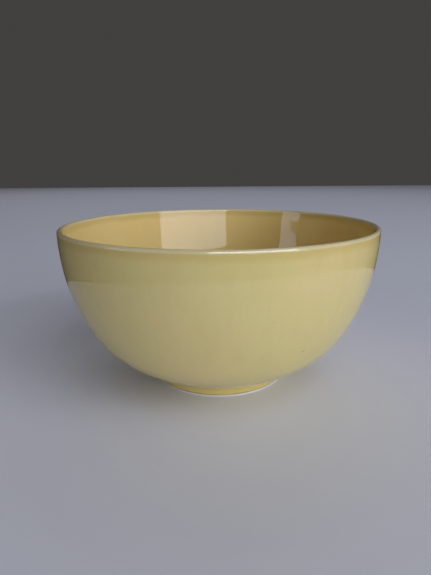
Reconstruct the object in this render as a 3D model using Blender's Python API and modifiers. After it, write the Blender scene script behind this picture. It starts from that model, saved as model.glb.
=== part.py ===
"""A glazed stoneware mixing bowl on a low foot ring.

The bowl is one turned clay body.  A glossy yellow glaze covers its inside, its lip and its outside, and
stops just above the table, where the foot ring is left bare.  The hollow inside the foot ring has a glaze
coat of its own.  Every outline lies in the XZ plane at +X and is turned about Z, in metres, with +Z up.
The origin is on the bowl's axis, in the plane that it stands on.
"""
import math

import bpy
from mathutils import Vector
from mathutils.geometry import interpolate_bezier

# The bowl as a whole, measured over its glaze.
RIM_RADIUS = 0.125
HEIGHT = 0.1272
LIP_WIDTH = 0.0042
LIP_FLARE = math.radians(4)  # the inside still leans out by this much where it meets the lip

# The wall bulges out to a belly between the foot and the rim.
BELLY_ACROSS = 0.69  # share of the way out from the foot to the rim
BELLY_UP = 0.303  # share of the way up from the foot to the lip
BELLY_SLOPE = math.radians(58)
BELLY_WALL = 0.0054
ROOT_SLOPE = math.radians(28)

# The foot ring, and the hollow that it leaves under the floor.
FOOT_RADIUS = 0.0565
FOOT_HEIGHT = 0.0083
FOOT_WIDTH = 0.0052
FOOT_FILLET = 0.0038
FOOT_CHAMFER = 0.0006
RECESS_DEPTH = 0.0055
RECESS_FILLET = 0.0018
FLOOR_THICKNESS = 0.0066

# The glaze, and the hairline between it and the clay.
GLAZE = 0.0005
CLEARANCE = 0.0003
BARE_EDGE = 0.0018
SKIN = GLAZE + CLEARANCE

TURN_STEPS = 48
LIP_SEGMENTS = 4
HANDLE_SHARE = 0.34  # a Bezier handle this long, as a share of its chord, makes a nearly round bend

UP = math.radians(90)
DOWN = math.radians(-90)
LEVEL = 0.0
INWARD = math.radians(-180)


def at(radius, height):
    """A point of an outline, by its distance from the axis and its height above the table."""
    return Vector((radius, 0.0, height))


def heading(angle):
    """The direction of travel along an outline: 0 leads away from the axis, 90 degrees leads up."""
    return Vector((math.cos(angle), 0.0, math.sin(angle)))


def bend(start, start_angle, end, end_angle, segments):
    """A smooth stretch of outline that leaves start and reaches end in the given directions."""
    reach = HANDLE_SHARE * (end - start).length
    leave = start + reach * heading(start_angle)
    arrive = end - reach * heading(end_angle)
    return interpolate_bezier(start, leave, arrive, end, segments + 1)


def joined(*stretches):
    """One outline from stretches that each begin where the last one ended."""
    outline = list(stretches[0])
    for stretch in stretches[1:]:
        outline.extend(stretch[1:])
    return outline


def right_of(start, end):
    """The unit vector that points to the right of someone who walks from start to end."""
    along = (end - start).normalized()
    return Vector((along.z, 0.0, -along.x))


def sunk(outline, depth):
    """The outline moved the same depth into the material, which lies on its right-hand side."""
    sides = [right_of(a, b) for a, b in zip(outline, outline[1:])]
    before = [sides[0]] + sides
    after = sides + [sides[-1]]
    if outline[0].x < CLEARANCE:
        before[0] = Vector((-after[0].x, 0.0, after[0].z))
    if outline[-1].x < CLEARANCE:
        after[-1] = Vector((-before[-1].x, 0.0, before[-1].z))
    moved = []
    for point, one, other in zip(outline, before, after):
        moved.append(point + depth * (one + other) / (1.0 + one.dot(other)))
    return moved


def lip_arc():
    """The round lip, from the top of the inside wall over to the top of the outside wall."""
    radius = LIP_WIDTH / 2
    centre = at(RIM_RADIUS - radius, HEIGHT - radius)
    start = math.pi - LIP_FLARE
    return [centre + radius * heading(start * (1 - step / LIP_SEGMENTS)) for step in range(LIP_SEGMENTS + 1)]


def belly_point():
    """The point of the outside wall where it turns from the side into the base."""
    radius = FOOT_RADIUS + BELLY_ACROSS * (RIM_RADIUS - FOOT_RADIUS)
    return at(radius, FOOT_HEIGHT + BELLY_UP * (HEIGHT - FOOT_HEIGHT))


def main_surface():
    """The glazed surface from the middle of the floor, up the inside, over the lip and down to the foot."""
    lip = lip_arc()
    belly = belly_point()
    inner_belly = belly + BELLY_WALL * heading(UP + BELLY_SLOPE)
    floor = at(0.0, RECESS_DEPTH + FLOOR_THICKNESS)

    # The fillet under the wall turns from the root's slope to the upright side of the foot ring.
    root_heading = ROOT_SLOPE + INWARD
    fillet_chord = FOOT_FILLET * heading((root_heading + DOWN) / 2)
    root = at(FOOT_RADIUS - fillet_chord.x, FOOT_HEIGHT)
    foot_top = root + fillet_chord
    glaze_line = at(FOOT_RADIUS, BARE_EDGE)

    return joined(
        bend(floor, LEVEL, inner_belly, BELLY_SLOPE, 7),
        bend(inner_belly, BELLY_SLOPE, lip[0], UP - LIP_FLARE, 4),
        lip,
        bend(lip[-1], DOWN, belly, BELLY_SLOPE + INWARD, 4),
        bend(belly, BELLY_SLOPE + INWARD, root, root_heading, 4),
        bend(root, root_heading, foot_top, DOWN, 3),
        [foot_top, glaze_line],
    )


def underside_surface():
    """The glazed surface of the foot's hollow, from the bare edge of the ring to the axis."""
    radius = FOOT_RADIUS - SKIN - FOOT_WIDTH - SKIN
    glaze_line = at(radius, BARE_EDGE)
    corner_low = at(radius, RECESS_DEPTH - RECESS_FILLET)
    corner_high = at(radius - RECESS_FILLET, RECESS_DEPTH)
    centre = at(0.0, RECESS_DEPTH)
    return joined(
        [glaze_line, corner_low],
        bend(corner_low, UP, corner_high, INWARD, 3),
        [corner_high, centre],
    )


def foot_edge():
    """The bare clay that the bowl stands on, from the outer glaze line round to the inner one."""
    outer = FOOT_RADIUS - SKIN
    inner = outer - FOOT_WIDTH
    return [
        at(outer, FOOT_CHAMFER),
        at(outer - FOOT_CHAMFER, 0.0),
        at(inner + FOOT_CHAMFER, 0.0),
        at(inner, FOOT_CHAMFER),
    ]


def finish(name, colour, roughness, metallic=0.0):
    """A plain material with the colour and gloss of one of the bowl's surfaces."""
    material = bpy.data.materials.new(name)
    material.use_nodes = True
    shader = material.node_tree.nodes["Principled BSDF"]
    shader.inputs["Base Color"].default_value = (*colour, 1.0)
    shader.inputs["Roughness"].default_value = roughness
    shader.inputs["Metallic"].default_value = metallic
    material.diffuse_color = (*colour, 1.0)
    return material


def turned(name, outline, material, collection):
    """A solid turned about Z from an outline that starts and ends on the axis."""
    mesh = bpy.data.meshes.new(name)
    edges = [(index, index + 1) for index in range(len(outline) - 1)]
    mesh.from_pydata(outline, edges, [])
    mesh.materials.append(material)
    piece = bpy.data.objects.new(name, mesh)
    collection.objects.link(piece)
    screw = piece.modifiers.new("turn", "SCREW")
    screw.axis = "Z"
    screw.angle = math.radians(360)
    screw.steps = TURN_STEPS
    screw.render_steps = TURN_STEPS
    screw.use_merge_vertices = True
    screw.merge_threshold = 0.00001
    screw.use_smooth_shade = True
    return piece


def clay_body(collection):
    """The fired clay: wall, floor and foot ring in one, bare only where it stands."""
    clay = finish("white_stoneware", (0.72, 0.69, 0.62), 0.75)
    inside_and_out = sunk(main_surface(), SKIN)
    underneath = sunk(underside_surface(), SKIN)
    return turned("clay_body", inside_and_out + foot_edge() + underneath, clay, collection)


def glaze_coat(collection):
    """The glaze over the inside, the lip and the outside, down to the bare edge of the foot."""
    glaze = finish("yellow_glaze", (0.52, 0.41, 0.16), 0.12)
    surface = main_surface()
    return turned("glaze_coat", surface + sunk(surface, GLAZE)[::-1], glaze, collection)


def underside_glaze(collection):
    """The glaze in the hollow of the foot ring."""
    glaze = finish("underside_yellow_glaze", (0.50, 0.39, 0.16), 0.15)
    surface = underside_surface()
    return turned("underside_glaze", sunk(surface, GLAZE)[::-1] + surface, glaze, collection)


def main():
    for thing in list(bpy.data.objects):
        bpy.data.objects.remove(thing, do_unlink=True)
    bowl = bpy.data.collections.new("mixing_bowl")
    bpy.context.scene.collection.children.link(bowl)
    clay_body(bowl)
    glaze_coat(bowl)
    underside_glaze(bowl)


main()
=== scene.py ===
# %% [markdown]
# # A glazed mixing bowl
#
# The object is a deep stoneware bowl: one turned clay body under a glossy custard-yellow glaze, with a
# second patch of glaze in the hollow of its foot ring. This lesson dresses a bowl that already has its
# sizes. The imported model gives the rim, the height, the glaze line and the hollow, and every piece below
# is drawn finer over it, in metres, with +Z up and the table at zero.

# %% Load the frame
import math

import bpy
from mathutils import Matrix, Vector
from mathutils.geometry import interpolate_bezier


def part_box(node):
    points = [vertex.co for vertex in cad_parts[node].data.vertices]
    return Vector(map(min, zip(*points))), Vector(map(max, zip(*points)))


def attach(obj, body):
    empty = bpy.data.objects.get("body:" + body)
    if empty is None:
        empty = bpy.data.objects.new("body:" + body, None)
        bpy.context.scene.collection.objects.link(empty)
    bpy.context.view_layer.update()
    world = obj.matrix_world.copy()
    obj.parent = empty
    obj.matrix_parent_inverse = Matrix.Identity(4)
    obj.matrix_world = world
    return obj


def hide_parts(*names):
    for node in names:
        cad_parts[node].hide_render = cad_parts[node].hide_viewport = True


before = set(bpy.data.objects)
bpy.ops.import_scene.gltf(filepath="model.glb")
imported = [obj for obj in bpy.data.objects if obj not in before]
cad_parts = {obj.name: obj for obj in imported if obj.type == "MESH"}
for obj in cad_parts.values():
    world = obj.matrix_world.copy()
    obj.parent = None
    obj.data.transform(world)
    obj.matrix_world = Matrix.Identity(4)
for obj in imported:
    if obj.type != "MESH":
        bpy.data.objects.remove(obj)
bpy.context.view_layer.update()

# %% [markdown]
# ## The section of the bowl
#
# A thrown or jiggered bowl is the same all round, so its whole shape is one line: up the inside, over the
# lip and down the outside. The overall sizes come from the model. What is left to choose is how the wall
# travels between them: a nearly upright side, a belly, and a flatter base that runs down to the foot ring.

# %% Read the sizes that the model already fixes
coat_low, coat_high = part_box("glaze_coat")
hollow_low, hollow_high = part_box("underside_glaze")

rim_radius = coat_high.x
height = coat_high.z
glaze_line = coat_low.z
glaze = 0.0005
clearance = 0.0003
hollow_radius = hollow_high.x - glaze
hollow_depth = hollow_high.z - glaze

print("rim radius %.1f, height %.1f, glaze line %.1f mm" % (1e3 * rim_radius, 1e3 * height, 1e3 * glaze_line))

# %% Choose how the wall travels
lip_width = 0.0042
lip_flare = math.radians(4)
foot_width = 0.0052
foot_radius = hollow_radius + foot_width + 2 * (glaze + clearance)
foot_height = 0.0083
foot_fillet = 0.0038
hollow_fillet = 0.0018
floor_height = 0.0121

belly_across = 0.69
belly_up = 0.303
belly_slope = math.radians(58)
belly_wall = 0.0054
root_slope = math.radians(28)

up = math.radians(90)
down = math.radians(-90)
level = 0.0
inward = math.radians(-180)

# %% [markdown]
# ## Drawing with bends
#
# Each stretch of the section is a Bezier bend that leaves one point and reaches the next in a known
# direction, as a potter's rib would sweep it. Handles of about a third of the chord keep a bend nearly
# round. A second helper moves a line into the wall, which gives the back of the glaze.

# %% Helpers for outlines in the XZ plane
handle_share = 0.34


def at(radius, z):
    return Vector((radius, 0.0, z))


def heading(angle):
    return Vector((math.cos(angle), 0.0, math.sin(angle)))


def bend(start, start_angle, end, end_angle, segments):
    reach = handle_share * (end - start).length
    leave = start + reach * heading(start_angle)
    arrive = end - reach * heading(end_angle)
    return interpolate_bezier(start, leave, arrive, end, segments + 1)


def joined(*stretches):
    outline = list(stretches[0])
    for stretch in stretches[1:]:
        outline.extend(stretch[1:])
    return outline


def sunk(outline, depth):
    """The outline moved into the wall, which lies on its right-hand side."""
    sides = []
    for start, end in zip(outline, outline[1:]):
        along = (end - start).normalized()
        sides.append(Vector((along.z, 0.0, -along.x)))
    before = [sides[0]] + sides
    after = sides + [sides[-1]]
    if outline[0].x < clearance:
        before[0] = Vector((-after[0].x, 0.0, after[0].z))
    if outline[-1].x < clearance:
        after[-1] = Vector((-before[-1].x, 0.0, before[-1].z))
    moved = []
    for point, one, other in zip(outline, before, after):
        moved.append(point + depth * (one + other) / (1.0 + one.dot(other)))
    return moved


# %% [markdown]
# ## The glazed line
#
# One line carries the whole glazed face: the dished floor, the inside wall, the rounded lip, the outside
# wall, the flatter base and the short upright of the foot ring. The lip is an arc and the rest are bends,
# so a single detail number makes the same line finer for the side that shows.

# %% Draw the glazed line, from the middle of the floor to the foot
def lip_arc(segments):
    radius = lip_width / 2
    centre = at(rim_radius - radius, height - radius)
    start = math.pi - lip_flare
    return [centre + radius * heading(start * (1 - step / segments)) for step in range(segments + 1)]


def glazed_line(detail):
    """Detail 1 is coarse enough for a hidden side; the showing side takes 3 or 4."""
    lip = lip_arc(5 * detail)
    belly = at(
        foot_radius + belly_across * (rim_radius - foot_radius),
        foot_height + belly_up * (height - foot_height),
    )
    inner_belly = belly + belly_wall * heading(up + belly_slope)
    base_heading = root_slope + inward
    fillet_chord = foot_fillet * heading((base_heading + down) / 2)
    root = at(foot_radius - fillet_chord.x, foot_height)
    foot_top = root + fillet_chord
    foot_end = at(foot_radius, glaze_line)
    return joined(
        bend(at(0.0, floor_height), level, inner_belly, belly_slope, 8 * detail),
        bend(inner_belly, belly_slope, lip[0], up - lip_flare, 6 * detail),
        lip,
        bend(lip[-1], down, belly, belly_slope + inward, 6 * detail),
        bend(belly, belly_slope + inward, root, base_heading, 6 * detail),
        bend(root, base_heading, foot_top, down, 3 * detail),
        bend(foot_top, down, foot_end, down, 2 * detail),
    )


# %% [markdown]
# ## Turning a section into a solid
#
# The section is drawn in edit mode from one vertex, extruded again and again, and then spun about the
# bowl's axis. Both ends of the line lie on the axis, so the turned shape closes by itself once the
# vertices there and along the seam are merged. 240 steps keep the rim round at close range.

# %% Turn an outline
turn_steps = 240
merge_distance = 0.000005
smooth_below = math.radians(50)


def turned(name, outline):
    bpy.ops.object.select_all(action="DESELECT")
    bpy.ops.mesh.primitive_plane_add(size=0.01, location=outline[0])
    piece = bpy.context.active_object
    piece.name = name
    piece.data.name = name
    bpy.ops.object.mode_set(mode="EDIT")
    bpy.ops.mesh.merge(type="CENTER")
    for start, end in zip(outline, outline[1:]):
        bpy.ops.mesh.extrude_region_move(TRANSFORM_OT_translate={"value": end - start})
    bpy.ops.mesh.select_all(action="SELECT")
    bpy.ops.mesh.spin(steps=turn_steps, angle=math.tau, center=(0, 0, 0), axis=(0, 0, 1))
    bpy.ops.mesh.select_all(action="SELECT")
    bpy.ops.mesh.remove_doubles(threshold=merge_distance)
    bpy.ops.mesh.normals_make_consistent(inside=False)
    bpy.ops.object.mode_set(mode="OBJECT")
    bpy.ops.object.transform_apply(location=True, rotation=True, scale=True)
    bpy.ops.object.shade_smooth_by_angle(angle=smooth_below)
    print(name, "has", len(piece.data.polygons), "faces")
    return piece


# %% [markdown]
# ## The yellow glaze
#
# On the real bowl the glaze is a skin of glass about half a millimetre thick. It is modelled as that: a
# closed shell with a front and a back. At the foot it ends in a soft bead, where the potter wiped the
# ring clean and the molten glaze drew back and rounded over.

# %% Model the glaze coat
bead = 0.0003


def bead_arc(line_end, segments):
    """The rolled edge under the glaze line, from the showing side back to the clay."""
    reach = glaze / 2
    centre = line_end - Vector((reach, 0.0, 0.0))
    arc = []
    for step in range(segments + 1):
        turn = math.pi * step / segments
        arc.append(centre + Vector((reach * math.cos(turn), 0.0, -bead * math.sin(turn))))
    return arc


front = glazed_line(4)
back = sunk(glazed_line(2), glaze)
front_end = front[-1]
front[-1] = front_end + Vector((0.0, 0.0, bead))
coat = turned("yellow_glaze", front + bead_arc(front[-1], 8)[1:] + back[-2::-1])

# %% [markdown]
# ## The clay body
#
# Under the glaze the clay shows only at the foot, as a pale rough edge that touches the table. The body
# is turned from the same line, sunk below the glaze, and gets a softly rounded ring to stand on.

# %% Model the clay
edge_round = 0.0009
clay_step = 0.0002
skin = glaze + clearance


def foot_ring(outer, inner, segments):
    """The bare ring between its two glaze lines, rounded at both corners."""
    outer_corner = bend(at(outer, edge_round), down, at(outer - edge_round, 0.0), inward, segments)
    inner_corner = bend(at(inner + edge_round, 0.0), inward, at(inner, edge_round), up, segments)
    return outer_corner + inner_corner


def hollow_line(detail):
    """The glazed face of the hollow, from the ring's inner glaze line to the axis."""
    start = at(hollow_radius, glaze_line)
    low = at(hollow_radius, hollow_depth - hollow_fillet)
    high = at(hollow_radius - hollow_fillet, hollow_depth)
    return joined(
        bend(start, up, low, up, 2 * detail),
        bend(low, up, high, inward, 4 * detail),
        bend(high, inward, at(0.0, hollow_depth), inward, 6 * detail),
    )


outer_wall = foot_radius - skin
inner_wall = hollow_radius + skin
shown_outer = foot_radius - glaze + clay_step
shown_inner = hollow_radius + glaze - clay_step
ring = foot_ring(shown_outer, shown_inner, 6)
clay_front = sunk(glazed_line(2), skin)
clay_back = sunk(hollow_line(2), skin)
lower_shoulder = [at(shown_outer, glaze_line - bead), at(shown_outer, glaze_line - 2 * bead)]
inner_shoulder = [at(shown_inner, glaze_line - 2 * bead), at(shown_inner, glaze_line - bead)]
clay = turned("fired_clay", clay_front + lower_shoulder + ring + inner_shoulder + clay_back)

# %% [markdown]
# ## The glaze in the hollow
#
# The underside was glazed too, inside the ring, so the bare clay cuts it off from the rest. It is a
# shallow dish of glaze whose edge hangs just above the table.

# %% Model the hollow's glaze
hollow_front = hollow_line(3)
hollow_back = sunk(hollow_line(2), glaze)
hollow = turned("underside_glaze_skin", hollow_back[::-1] + hollow_front)

# %% [markdown]
# ## Materials from real finishes
#
# Colours are written as the sRGB hex values that a painter would pick and turned to linear by one
# function. A second function adds a node with its settings and its links.

# %% Colour and node helpers
mm = 0.001


def linear(hex_colour):
    channels = []
    for start in (0, 2, 4):
        value = int(hex_colour[start:start + 2], 16) / 255
        channels.append(value / 12.92 if value <= 0.04045 else ((value + 0.055) / 1.055) ** 2.4)
    return (*channels, 1.0)


def add(tree, kind, inputs=None, **settings):
    """Adds a node. Inputs are given by socket name or number, as a value or as another node's output."""
    node = tree.nodes.new("ShaderNode" + kind)
    for name, value in settings.items():
        setattr(node, name, value)
    for socket, value in (inputs or {}).items():
        if isinstance(value, bpy.types.NodeSocket):
            tree.links.new(value, node.inputs[socket])
        else:
            node.inputs[socket].default_value = value
    return node


def new_material(name):
    material = bpy.data.materials.new(name)
    material.use_nodes = True
    tree = material.node_tree
    tree.nodes.clear()
    shader = add(tree, "BsdfPrincipled")
    add(tree, "OutputMaterial", {"Surface": shader.outputs[0]})
    return material, tree, shader


# %% Blend and fade helpers
def blend(tree, share, first, second):
    """Mixes two colours; share may be a number or another node's output."""
    return add(tree, "Mix", {0: share, 6: first, 7: second}, data_type="RGBA").outputs[2]


def fade(tree, value, start, end, low=0.0, high=1.0, kind="SMOOTHSTEP"):
    """Turns a value that runs from start to end into one that runs from low to high."""
    sockets = {0: value, 1: start, 2: end, 3: low, 4: high}
    return add(tree, "MapRange", sockets, interpolation_type=kind).outputs[0]


# %% [markdown]
# ## Custard-yellow stoneware glaze
#
# A dipped or poured tin glaze, fired glossy: a skin of coloured glass over pale clay, pale where it ran thin
# over the lip. The inside is painted lighter as painted light, the crook of the foot and the glaze line are
# painted darker as painted shade, and a band just under the lip is darker. Each effect is a small function
# that takes the colour so far and returns it changed, so the finish can be read and tuned one layer at a
# time.

# %% The body colour and its runs
def body_colour(tree, cloud, runs):
    """Drifts between two yellows over a hand's breadth; runs of glaze about 8 mm wide streak down it."""
    body = blend(tree, fade(tree, cloud, 0.35, 0.65), linear("E0CB8C"), linear("DBCB88"))
    return blend(tree, fade(tree, runs, 0.45, 0.75, 0.0, 0.25), body, linear("D4C080"))


# %% [markdown]
# ### Painted light inside
#
# The inside is painted a lighter, warmer yellow than the outside: painted light for the light that falls into
# the bowl. A point is inside where its normal points back at the axis, which one dot product tells.

# %% The inside, painted lighter
def inside_painted_light(tree, colour, where):
    normal = add(tree, "NewGeometry").outputs["Normal"]
    level_place = add(tree, "VectorMath", {0: where, 1: (1.0, 1.0, 0.0)}, operation="MULTIPLY").outputs[0]
    outward = add(tree, "VectorMath", {0: level_place}, operation="NORMALIZE").outputs[0]
    agree = add(tree, "VectorMath", {0: normal, 1: outward}, operation="DOT_PRODUCT").outputs["Value"]
    # Painted light: inside points are blended towards a lighter yellow.
    return blend(tree, fade(tree, agree, 0.1, -0.3, 0.0, 0.75), colour, linear("F0D289"))


# %% [markdown]
# ### Bands at the lip and the foot
#
# Molten glaze leaves the sharp curve of the lip, so the lip is paler. A band a few millimetres below the lip
# is darker ochre. The crook over the foot ring is painted a darker, stronger yellow as painted shade, and a
# thin grey-green line just above the glaze line is painted shade under the glaze's bead. Height alone places
# each band, and a slow noise makes its edge wander, as a fired glaze's does.

# %% The bands
def banded(tree, colour, where):
    height_above = add(tree, "SeparateXYZ", {0: where}).outputs["Z"]
    wander = add(tree, "TexNoise", {"Vector": where, "Scale": 1 / (14 * mm), "Detail": 2.0}).outputs[0]
    drift = fade(tree, wander, 0.2, 0.8, -1.0 * mm, 1.0 * mm, "LINEAR")
    slight = add(tree, "Math", {0: drift, 1: 0.35}, operation="MULTIPLY").outputs[0]
    loose = add(tree, "Math", {0: height_above, 1: drift}, operation="ADD").outputs[0]
    close = add(tree, "Math", {0: height_above, 1: slight}, operation="ADD").outputs[0]

    # A band a few millimetres below the lip is blended towards a darker ochre.
    below_lip_band = fade(tree, loose, height - 9.0 * mm, height - 3.6 * mm, 0.0, 0.5)
    colour = blend(tree, below_lip_band, colour, linear("CDB166"))
    lip = fade(tree, close, height - 2.7 * mm, height - 1.5 * mm, 0.0, 0.5)
    colour = blend(tree, lip, colour, linear("E8E0BC"))
    # Painted shade: the crook over the foot ring, under the belly, is painted a darker, stronger yellow.
    crook_shade = fade(tree, loose, 10.5 * mm, 7.0 * mm, 0.0, 0.9)
    colour = blend(tree, crook_shade, colour, linear("D7C072"))
    # Painted shade: a thin dark grey-green line just above the glaze line, for the shadow under the glaze's
    # bead.
    edge = fade(tree, close, glaze_line + 0.95 * mm, glaze_line + 0.35 * mm, 0.0, 0.8)
    return blend(tree, edge, colour, linear("7C7450"))


# %% [markdown]
# ### Mottle and iron specks
#
# Stoneware clay holds grains of iron. Where one lies under the glaze it burns through as a brown dot less
# than a millimetre across, with a pinhole in its middle. Voronoi cells of 11 mm each offer one place for a
# dot, and one cell in fourteen takes it.

# %% The specks
def iron_specks(tree, where):
    cells = add(tree, "TexVoronoi", {"Vector": where, "Scale": 1 / (11 * mm), "Randomness": 1.0})
    picked = add(tree, "SeparateColor", {0: cells.outputs["Color"]}).outputs[0]
    chosen = add(tree, "Math", {0: picked, 1: 0.93}, operation="GREATER_THAN").outputs[0]
    dot = fade(tree, cells.outputs["Distance"], 0.022, 0.05, 1.0, 0.0, "LINEAR")
    return add(tree, "Math", {0: chosen, 1: dot}, operation="MULTIPLY").outputs[0]


# %% [markdown]
# ### Relief
#
# Even a smooth glaze isn't flat. It has a slow orange peel about 12 mm across, which makes reflections
# waver at their edges, the faint ridges of its runs, and a pinhole at each speck. Bump does for these,
# since none is deeper than a tenth of a millimetre.

# %% The relief
def glaze_relief(tree, where, runs, speck):
    ripple = add(tree, "TexNoise", {"Vector": where, "Scale": 1 / (12 * mm), "Detail": 1.0}).outputs[0]
    soft = add(tree, "Bump", {"Height": ripple, "Distance": 0.09 * mm, "Strength": 1.0}).outputs[0]
    lines = add(tree, "Bump", {"Height": runs, "Distance": 0.04 * mm, "Normal": soft}).outputs[0]
    pit = {"Height": speck, "Distance": 0.12 * mm, "Normal": lines}
    return add(tree, "Bump", pit, invert=True).outputs[0]


# %% Put the glaze together
def glaze_material(name):
    """A glossy glass skin: IOR 1.52 as soda glass, and a roughness that drifts between 0.03 and 0.06."""
    material, tree, shader = new_material(name)
    where = add(tree, "TexCoord").outputs["Object"]
    cloud = add(tree, "TexNoise", {"Vector": where, "Scale": 1 / (70 * mm), "Detail": 3.0}).outputs[0]
    run_size = (1 / (8 * mm), 1 / (8 * mm), 1 / (90 * mm))
    runs_at = add(tree, "Mapping", {"Vector": where, "Scale": run_size}).outputs[0]
    runs = add(tree, "TexNoise", {"Vector": runs_at, "Scale": 1.0, "Detail": 2.0}).outputs[0]
    speck = iron_specks(tree, where)

    colour = body_colour(tree, cloud, runs)
    colour = inside_painted_light(tree, colour, where)
    colour = banded(tree, colour, where)
    mottle = add(tree, "TexNoise", {"Vector": where, "Scale": 1 / (2.2 * mm), "Detail": 4.0}).outputs[0]
    fine = fade(tree, mottle, 0.0, 1.0, 0.965, 1.03, "LINEAR")
    colour = add(tree, "VectorMath", {0: colour, "Scale": fine}, operation="SCALE").outputs[0]
    colour = blend(tree, speck, colour, linear("5A4524"))

    tree.links.new(colour, shader.inputs["Base Color"])
    gloss = fade(tree, cloud, 0.3, 0.7, 0.03, 0.06, "LINEAR")
    tree.links.new(gloss, shader.inputs["Roughness"])
    tree.links.new(glaze_relief(tree, where, runs, speck), shader.inputs["Normal"])
    shader.inputs["IOR"].default_value = 1.52
    print(name, "has", len(tree.nodes), "nodes")
    return material


yellow_glaze = glaze_material("custard_tin_glaze")

# %% [markdown]
# ## Bare stoneware
#
# Where the ring was wiped, the fired clay is off-white, dry and faintly sandy. It has no gloss at all,
# fine grog that catches the light, and a grey rub where it has slid on shelves.

# %% Make the clay
def clay_material(name):
    """Dry unglazed clay: grog of about 0.7 mm, and a grey rub in patches on the face that slides."""
    material, tree, shader = new_material(name)
    where = add(tree, "TexCoord").outputs["Object"]
    level_here = add(tree, "SeparateXYZ", {0: where}).outputs["Z"]
    grain = add(tree, "TexNoise", {"Vector": where, "Scale": 1 / (0.7 * mm), "Detail": 6.0}).outputs[0]
    patch = add(tree, "TexNoise", {"Vector": where, "Scale": 1 / (9 * mm), "Detail": 3.0}).outputs[0]
    base = blend(tree, fade(tree, grain, 0.35, 0.65, kind="LINEAR"), linear("E4DED2"), linear("F1EDE4"))
    low_down = fade(tree, level_here, 0.0, 0.5 * mm, 1.0, 0.0, "LINEAR")
    worn = fade(tree, patch, 0.42, 0.62, 0.0, 0.45, "LINEAR")
    rub = add(tree, "Math", {0: low_down, 1: worn}, operation="MULTIPLY").outputs[0]
    tree.links.new(blend(tree, rub, base, linear("B9B2A6")), shader.inputs["Base Color"])
    sand = add(tree, "Bump", {"Height": grain, "Distance": 0.06 * mm}).outputs[0]
    tree.links.new(sand, shader.inputs["Normal"])
    shader.inputs["Roughness"].default_value = 0.82
    shader.inputs["IOR"].default_value = 1.45
    return material


stoneware = clay_material("bare_white_stoneware")

# %% [markdown]
# ## Putting the pieces on the model
#
# The bowl is one rigid body, so every piece rides on its root. Each piece takes the place of the plain
# model's solid of the same name, and gets its one material.

# %% Put the pieces on the body
def dress(piece, material, node):
    piece.data.materials.clear()
    piece.data.materials.append(material)
    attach(piece, "root")
    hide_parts(node)


dress(coat, yellow_glaze, "glaze_coat")
dress(clay, stoneware, "clay_body")
dress(hollow, yellow_glaze, "underside_glaze")

# %% [markdown]
# ## The table
#
# A plain pale table, a little cool against the yellow. It is matt, so it throws soft light up under the
# bowl without mirroring it.

# %% Floor
def floor_material(name):
    """Matt lacquered board, with a tone that drifts a little over half a metre."""
    material, tree, shader = new_material(name)
    where = add(tree, "TexCoord").outputs["Object"]
    drift = add(tree, "TexNoise", {"Vector": where, "Scale": 2.0, "Detail": 2.0}).outputs[0]
    tree.links.new(blend(tree, drift, linear("E2E3EF"), linear("E6E7F1")), shader.inputs["Base Color"])
    shader.inputs["Roughness"].default_value = 0.6
    return material


bpy.ops.object.select_all(action="DESELECT")
bpy.ops.mesh.primitive_plane_add(size=8.0, location=(0, 0, 0))
table = bpy.context.active_object
table.name = "studio_table"
table.data.materials.append(floor_material("plain_pale_table"))

# %% [markdown]
# ## What the gloss mirrors
#
# A glossy bowl is mostly seen by what it reflects. Over an endless pale floor its whole side would look
# milky, so two dark cards stop the reflections where a tabletop and a wall would: a low ring round the
# bowl and an upright card behind it. They are hidden from the camera and cast nothing.

# %% Cards that only the gloss sees
card_colour = "33241F"


def gloss_card(card, name):
    """Makes an object a dark paper card that shows in reflections but casts and hides nothing."""
    card.name = name
    material, tree, shader = new_material(name + "_paper")
    where = add(tree, "TexCoord").outputs["Object"]
    fibre = add(tree, "TexNoise", {"Vector": where, "Scale": 1 / (30 * mm)}).outputs[0]
    tree.links.new(blend(tree, fibre, linear(card_colour), linear("3A2A24")), shader.inputs["Base Color"])
    shader.inputs["Roughness"].default_value = 1.0
    card.data.materials.append(material)
    card.visible_camera = False
    card.visible_diffuse = False
    card.visible_shadow = False


# A round tabletop would end here: a low ring of card round the bowl hides the floor beyond it.
ring_radius = 0.375
ring_top = 0.115
bpy.ops.object.select_all(action="DESELECT")
bpy.ops.mesh.primitive_cylinder_add(
    vertices=96, radius=ring_radius, depth=ring_top, end_fill_type="NOTHING",
    location=(0.045, 0.015, ring_top / 2 + 0.002),
)
gloss_card(bpy.context.active_object, "table_end_card")

# An upright card stands behind, where a wall would be.
bpy.ops.object.select_all(action="DESELECT")
bpy.ops.mesh.primitive_plane_add(size=1.0, location=(0, 0.24, 0.23))
bpy.ops.transform.resize(value=(2.4, 0.45, 1.0))
wall_card = bpy.context.active_object
wall_card.rotation_euler = (math.radians(90), 0, math.radians(9))
gloss_card(wall_card, "wall_card")

# %% [markdown]
# ## Soft light
#
# Two window-shaped lights stand low, one behind the camera and one well to its left. The left one, and a
# strip higher up, show only in the gloss. The broad light comes from the right, so the left side falls
# away into shade and the form reads round. A weak pair behind keeps the back from going black.

# %% Lights
aim_height = 0.09


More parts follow.
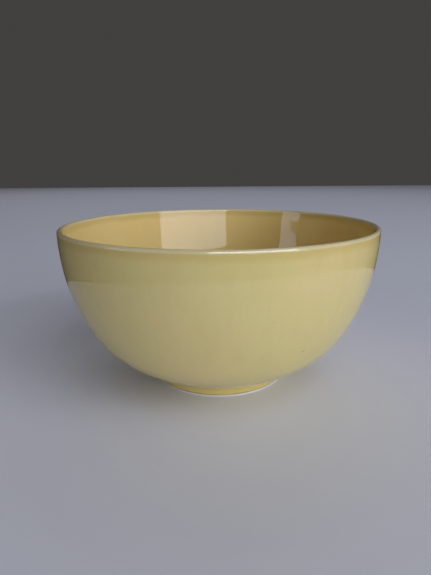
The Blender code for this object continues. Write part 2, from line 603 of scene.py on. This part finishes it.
def softbox(name, direction, climb, distance, width, tall, watts, colour="EEF3FF", seen_by="all"):
    """A rectangular light that faces the bowl, placed by its direction from the camera's side towards
    the right and its climb, both in degrees. It may be seen by the gloss alone or by all but the gloss."""
    a = math.radians(direction)
    c = math.radians(climb)
    way = Vector((math.sin(a) * math.cos(c), -math.cos(a) * math.cos(c), math.sin(c)))
    lamp = bpy.data.lights.new(name, "AREA")
    lamp.shape = "RECTANGLE"
    lamp.size = width
    lamp.size_y = tall
    lamp.energy = watts
    lamp.color = linear(colour)[:3]
    holder = bpy.data.objects.new(name, lamp)
    bpy.context.collection.objects.link(holder)
    holder.location = Vector((0, 0, aim_height)) + distance * way
    holder.rotation_euler = way.to_track_quat("Z", "Y").to_euler()
    holder.visible_diffuse = seen_by != "gloss"
    holder.visible_glossy = seen_by != "body"


softbox("window_right", 24, 10.5, 2.0, 2.4, 0.66, 17, "EFF4FF")
softbox("window_left", -69, 10.5, 2.0, 0.62, 0.66, 3, "E8EEFF", seen_by="gloss")
softbox("sky_strip", 24, 36, 2.0, 2.0, 0.4, 42, "FFFFFF", seen_by="gloss")
softbox("soft_right", 60, 22, 4.0, 2.0, 2.0, 39, seen_by="body")
softbox("high_front", 40, 50, 4.0, 2.6, 2.6, 30)
softbox("high_back", 165, 45, 4.0, 2.6, 2.6, 16)
softbox("back_left", -150, 38, 4.0, 2.6, 2.6, 12)

world = bpy.data.worlds.new("studio_air")
bpy.context.scene.world = world
world.use_nodes = True
background = world.node_tree.nodes["Background"]
background.inputs["Color"].default_value = linear("FFFAF6")
background.inputs["Strength"].default_value = 0.055

bpy.context.scene.view_settings.view_transform = "Standard"

# %% [markdown]
# ## Camera
#
# A short lens, close and about 15 degrees above level, as someone at the table would see the bowl: the far
# inside wall shows over the near lip, and the foot ring just shows under the base. It is turned and rolled
# by less than half a degree.

# %% Camera
eye_back = 2.829 * rim_radius
eye_up = 1.356 * rim_radius
look_down = 15.39
turn = Matrix.Rotation(math.radians(0.44), 4, "Z")
tip = Matrix.Rotation(math.radians(90 - look_down), 4, "X")
below_lip_band = Matrix.Rotation(math.radians(-0.42), 4, "Z")
lens = bpy.data.cameras.new("lens")
lens.lens = 26.98
lens.sensor_width = 36
camera = bpy.data.objects.new("camera", lens)
bpy.context.collection.objects.link(camera)
camera.matrix_world = Matrix.Translation((0, -eye_back, eye_up)) @ turn @ tip @ below_lip_band
bpy.context.scene.camera = camera
